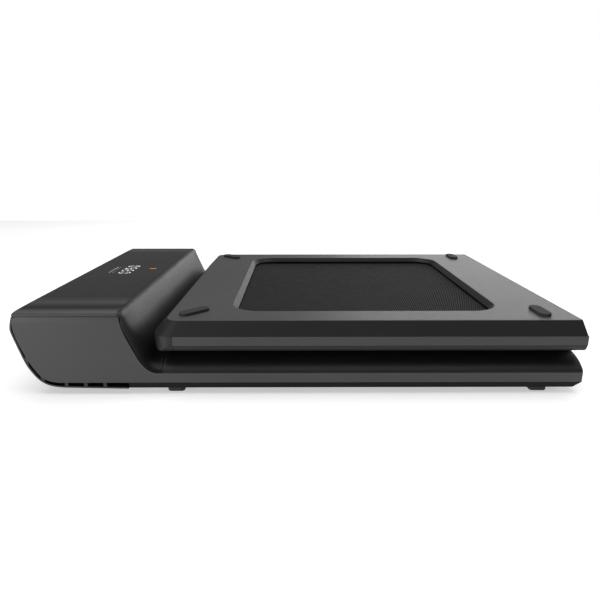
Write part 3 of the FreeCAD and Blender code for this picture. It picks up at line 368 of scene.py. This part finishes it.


# ---- materials of the slots, and of the two covers whose colour and painted shade differ from their slot's ----
slot_materials = {
    "side_plastic": moulded("side_plastic", grey(0.036), 0.45, soften=0.0006),
    "rail_plastic": moulded("rail_plastic", grey(0.012), 0.45, specular=0.3, soften=0.0006),
    # the housing top gets a painted highlight and painted shade along its sides
    "top_plastic": moulded("top_plastic", grey(0.016), 0.36, grain=0.00003, specular=0.2, soften=0.0005,
                           painted_side_light=TOP_PAINTED_LIGHT),
    "base_plastic": moulded("base_plastic", grey(0.006), 0.6, specular=0.12, soften=0.0006),
    # the rear panel: painted shade on its slanted edge
    "panel_plastic": moulded("panel_plastic", grey(0.062), 0.5, specular=0.36, soften=0.0008,
                             painted_shade_below=PANEL_PAINTED_SHADE),
    "smoked_window": smoked_glass("smoked_window"),
    "circuit_board": circuit_board("circuit_board"),
    "rubber": rubber("rubber", 0.034),
    "frame_paint": coated_metal("frame_paint", grey(0.012), 0.45),
    "steel": metal("steel", grey(0.55), 0.32),
    "hinge_steel": coated_metal("hinge_steel", grey(0.012), 0.35),
    "aluminium": metal("aluminium", grey(0.75), 0.4, (300, 300, 300)),
    "motor_paint": coated_metal("motor_paint", grey(0.02), 0.4),
    "deck_board": wood_board("deck_board"),
    "belt": belt_surface("belt"),
    "fitting_plastic": moulded("fitting_plastic", grey(0.012), 0.4),
    "rocker_plastic": moulded("rocker_plastic", grey(0.015), 0.3),
    "reset_plastic": moulded("reset_plastic", (0.35, 0.02, 0.015), 0.35),
}
node_materials = {
    # the bumper: a lighter moulding with painted shade on its underside
    "bumper_cover": moulded("bumper_plastic", grey(0.04), 0.45, soften=0.0006,
                            painted_shade_below=BUMPER_PAINTED_SHADE),
    # the ramp: painted shade darkens it toward its foot
    "ramp_cover": moulded("ramp_plastic", grey(0.026), 0.42, specular=0.25, soften=0.0006,
                          painted_shade_below=RAMP_PAINTED_SHADE),
}
digit_light = lit("digit_light", (0.85, 0.9, 0.95), 0.45)
signal_light = lit("signal_light", (0.9, 0.28, 0.05), 0.35)
faint_light = lit("faint_light", (0.5, 0.5, 0.5), 0.12)


def dress_frame():
    """Gives every CAD node the material of its slot, or its own where its colour and painted shade
    differ.
    """
    for entry in frame["record"]["subparts"]:
        node = nodes[entry["node"]]
        node.data.materials.clear()
        material = node_materials.get(entry["node"], slot_materials[entry["material_slot"]])
        node.data.materials.append(material)


def mesh_object(name, work, material):
    """An object made from a bmesh, with its faces turned outward."""
    mesh = bpy.data.meshes.new(name)
    bmesh.ops.recalc_face_normals(work, faces=work.faces)
    work.to_mesh(mesh)
    work.free()
    piece = bpy.data.objects.new(name, mesh)
    bpy.context.scene.collection.objects.link(piece)
    mesh.materials.append(material)
    return piece


# ---- lit figures in the display window ----
FIGURES = "0350"
SEGMENTS = {"0": "abcdef", "3": "abgcd", "5": "afgcd"}
FIGURE_ROW_X = -0.334
FIGURE_ROW_Y = -0.021           # centre of the first figure
FIGURE_PITCH = 0.0195
FIGURE_TALL = 0.020
FIGURE_WIDE = 0.0105
FIGURE_STROKE = 0.0022
FIGURE_GAP = 1.2 * FIGURE_STROKE        # how much shorter a bar is than the side of the figure it lies on
COLON_HALF_GAP = 0.004
COLON_DOT = 0.0018
SMALL_MARKS = 5                 # a row of plain marks, each with a short one beside it
SMALL_ROW_X = -0.3635
SMALL_ROW_Y = -0.017            # centre of the first mark
SMALL_ROW_PITCH = 0.011
SHORT_ROW_X = SMALL_ROW_X + 0.0065
SMALL_MARK = (0.0028, 0.0070)   # sizes along X and Y
SHORT_MARK = (0.0016, 0.0040)
SIGNAL_PLACE = (-0.291, 0.0165)
SIGNAL_SIZE = (0.014, 0.0035)
BAR_THICK = 0.00008


def figure_bar(work, place, along, across, top):
    """A flat six-sided bar centred at place; along and across are its sizes along X and Y."""
    x, y = place
    if along > across:
        tip = across / 2
        outline = [(-along / 2, 0), (-along / 2 + tip, across / 2), (along / 2 - tip, across / 2),
                   (along / 2, 0), (along / 2 - tip, -across / 2), (-along / 2 + tip, -across / 2)]
    else:
        tip = along / 2
        outline = [(0, -across / 2), (along / 2, -across / 2 + tip), (along / 2, across / 2 - tip),
                   (0, across / 2), (-along / 2, across / 2 - tip), (-along / 2, -across / 2 + tip)]
    lower = [work.verts.new((x + dx, y + dy, top - BAR_THICK)) for dx, dy in outline]
    upper = [work.verts.new((x + dx, y + dy, top)) for dx, dy in outline]
    work.faces.new(upper)
    work.faces.new(lower[::-1])
    count = len(outline)
    for i in range(count):
        work.faces.new((lower[i], lower[(i + 1) % count], upper[(i + 1) % count], upper[i]))


def figure(work, digit, x, y, top):
    """One seven-segment digit, read by a person who faces -X; x, y is its centre."""
    arm = FIGURE_TALL / 2
    side = FIGURE_WIDE / 2
    middle = {"a": (-arm, 0), "g": (0, 0), "d": (arm, 0), "f": (-arm / 2, -side), "b": (-arm / 2, side),
              "e": (arm / 2, -side), "c": (arm / 2, side)}
    for letter in SEGMENTS[digit]:
        dx, dy = middle[letter]
        if letter in "agd":
            figure_bar(work, (x + dx, y + dy), FIGURE_STROKE, FIGURE_WIDE - FIGURE_GAP, top)
        else:
            figure_bar(work, (x + dx, y + dy), arm - FIGURE_GAP, FIGURE_STROKE, top)


def display_figures():
    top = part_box("display_window")[1].z + BAR_THICK
    work = bmesh.new()
    for i, digit in enumerate(FIGURES):
        figure(work, digit, FIGURE_ROW_X, FIGURE_ROW_Y + FIGURE_PITCH * i, top)
    colon_y = FIGURE_ROW_Y + FIGURE_PITCH * (len(FIGURES) - 1) / 2
    for offset in (-COLON_HALF_GAP, COLON_HALF_GAP):
        figure_bar(work, (FIGURE_ROW_X + offset, colon_y), COLON_DOT, COLON_DOT, top)
    digits = mesh_object("display_digits", work, digit_light)
    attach(digits, "front_half")
    work = bmesh.new()
    for i in range(SMALL_MARKS):
        y = SMALL_ROW_Y + SMALL_ROW_PITCH * i
        figure_bar(work, (SMALL_ROW_X, y), *SMALL_MARK, top)
        figure_bar(work, (SHORT_ROW_X, y), *SHORT_MARK, top)
    marks = mesh_object("display_marks", work, faint_light)
    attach(marks, "front_half")
    work = bmesh.new()
    figure_bar(work, SIGNAL_PLACE, *SIGNAL_SIZE, top)
    signal = mesh_object("display_signal", work, signal_light)
    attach(signal, "front_half")


# ---- belt where it passes the fold ----
BELT_THICK = 0.0016
IDLER_BELT_R = 0.009            # outer face of the belt round a fold idler
BELT_COLUMNS = 28               # quads across the belt
HINGE_PAST_BELT = 0.0005        # from the end of the front deck length to the turn's axis


def arc_points(centre, radius, start, end, steps):
    """Points along an arc in the XZ plane, from one angle to another in degrees."""
    points = []
    for i in range(steps + 1):
        angle = math.radians(start + (end - start) * i / steps)
        points.append((centre[0] + radius * math.cos(angle), centre[1] + radius * math.sin(angle)))
    return points


def belt_strip(name, path, half_width):
    """A closed belt strip along a path in the XZ plane, with its outer side on the path's right."""
    work = bmesh.new()
    across = [-half_width + 2 * half_width * k / BELT_COLUMNS for k in range(BELT_COLUMNS + 1)]
    rings = []
    for i, (x, z) in enumerate(path):
        ax, az = path[max(i - 1, 0)]
        bx, bz = path[min(i + 1, len(path) - 1)]
        length = math.hypot(bx - ax, bz - az)
        dx = (bz - az) / length * BELT_THICK / 2
        dz = -(bx - ax) / length * BELT_THICK / 2
        outer = [work.verts.new((x + dx, y, z + dz)) for y in across]
        inner = [work.verts.new((x - dx, y, z - dz)) for y in across]
        rings.append(outer + inner[::-1])
    count = len(rings[0])
    for i in range(len(rings) - 1):
        for k in range(count):
            n = (k + 1) % count
            work.faces.new((rings[i][k], rings[i][n], rings[i + 1][n], rings[i + 1][k]))
    work.faces.new(rings[0])
    work.faces.new(rings[-1][::-1])
    return mesh_object(name, work, slot_materials["belt"])


def belt_at_fold():
    """The outer run bows round the fold idlers and the inner run turns about the hinge."""
    low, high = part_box("belt_fold")
    belt_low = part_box("belt_front")[0].z
    belt_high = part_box("belt_front")[1].z
    hinge_z = (low.z + high.z) / 2
    hinge_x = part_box("belt_front")[1].x + HINGE_PAST_BELT
    half_width = high.y
    idler_low, idler_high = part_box("idler_front")
    idler_x = (idler_low.x + idler_high.x) / 2
    turn_r = IDLER_BELT_R - BELT_THICK / 2
    lower_z = belt_low + IDLER_BELT_R
    upper_z = 2 * hinge_z - lower_z
    bulge = high.x - idler_x - IDLER_BELT_R
    rise = hinge_z - lower_z
    bow_r = (rise * rise + bulge * bulge) / (2 * bulge)
    bow_centre = (idler_x + turn_r + bulge - bow_r, hinge_z)
    spread = math.degrees(math.asin(rise / bow_r))
    path = arc_points((idler_x, lower_z), turn_r, -90, 0, 10)
    path += arc_points(bow_centre, bow_r, -spread, spread, 30)[1:-1]
    path += arc_points((idler_x, upper_z), turn_r, 0, 90, 10)
    outer = belt_strip("belt_fold_outer", path, half_width)
    turn = arc_points((hinge_x, hinge_z), hinge_z - belt_high + BELT_THICK / 2, -90, 90, 24)
    inner = belt_strip("belt_fold_inner", turn, half_width)
    for piece in (outer, inner):
        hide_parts("belt_fold")
    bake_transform(outer)
    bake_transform(inner)


# ---- stage, lights, camera ----
FLOOR_HALF_SIZE = 2
FLOOR_DROP = 0.0005             # the floor lies this far under the feet
FLOOR_GLOW = 0.6
ROOM_LIGHT = 0.22               # brightness of the room where it lights the machine
# each softbox's name, place, the point it is aimed at, its width and height, and its power in watts
SOFTBOXES = [("back_softbox", (1.7, 2.5, 0.95), (0.1, 0.1, 0.1), (3.2, 1.2), 34),
             ("overhead_softbox", (0.0, 0.0, 2.6), (0, 0, 0), (3.4, 2.6), 60),
             ("left_fill", (-1.9, -1.5, 0.16), (-0.1, -0.27, 0.06), (1.2, 0.3), 20)]
CAMERA_PLACE = (-0.00965, -0.9552, 0.3280)
CAMERA_DOWN = 15.239            # degrees below the horizon
CAMERA_RIGHT = 0.2615           # degrees to the right of +Y
CAMERA_LENS = 30.5              # millimetres, on a sensor 36 wide


def make_floor():
    work = bmesh.new()
    bmesh.ops.create_grid(work, x_segments=2, y_segments=2, size=FLOOR_HALF_SIZE)
    s = Shader("floor_white")
    mottle = s.noise(3, 3)
    tint = s.ramp(mottle, "Fac", [(0.3, 0.78), (0.7, 0.80)])
    s.link(tint, "Color", s.surface, "Base Color")
    s.link(tint, "Color", s.surface, "Emission Color")
    s.set(rough=0.9, specular=0.1, glow=FLOOR_GLOW)
    floor = mesh_object("floor", work, s.material)
    floor.location.z = -FLOOR_DROP


def area_light(name, place, target, size, power):
    data = bpy.data.lights.new(name, "AREA")
    data.shape = "RECTANGLE"
    data.size, data.size_y = size
    data.energy = power
    light = bpy.data.objects.new(name, data)
    bpy.context.scene.collection.objects.link(light)
    light.location = place
    aim = Vector(target) - Vector(place)
    light.rotation_euler = aim.to_track_quat("-Z", "Y").to_euler()


def make_lights():
    """A dim studio room that the camera sees as white paper, lit by the softboxes."""
    world = bpy.data.worlds.new("studio")
    bpy.context.scene.world = world
    world.use_nodes = True
    tree = world.node_tree
    background = tree.nodes["Background"]
    rays = tree.nodes.new("ShaderNodeLightPath")
    strength = tree.nodes.new("ShaderNodeMapRange")
    strength.inputs["To Min"].default_value = ROOM_LIGHT
    strength.inputs["To Max"].default_value = 1.0
    tree.links.new(rays.outputs["Is Camera Ray"], strength.inputs["Value"])
    tree.links.new(strength.outputs["Result"], background.inputs["Strength"])
    background.inputs["Color"].default_value = (1, 1, 1, 1)
    for softbox in SOFTBOXES:
        area_light(*softbox)


def make_camera():
    data = bpy.data.cameras.new("camera")
    data.sensor_width = 36.0
    data.lens = CAMERA_LENS
    camera = bpy.data.objects.new("camera", data)
    bpy.context.scene.collection.objects.link(camera)
    camera.location = CAMERA_PLACE
    camera.rotation_euler = (math.radians(90 - CAMERA_DOWN), 0, -math.radians(CAMERA_RIGHT))
    data.clip_start = 0.01
    bpy.context.scene.camera = camera
    bpy.context.scene.view_settings.view_transform = "Standard"


make_camera()
make_lights()
make_floor()
dress_frame()
display_figures()
belt_at_fold()
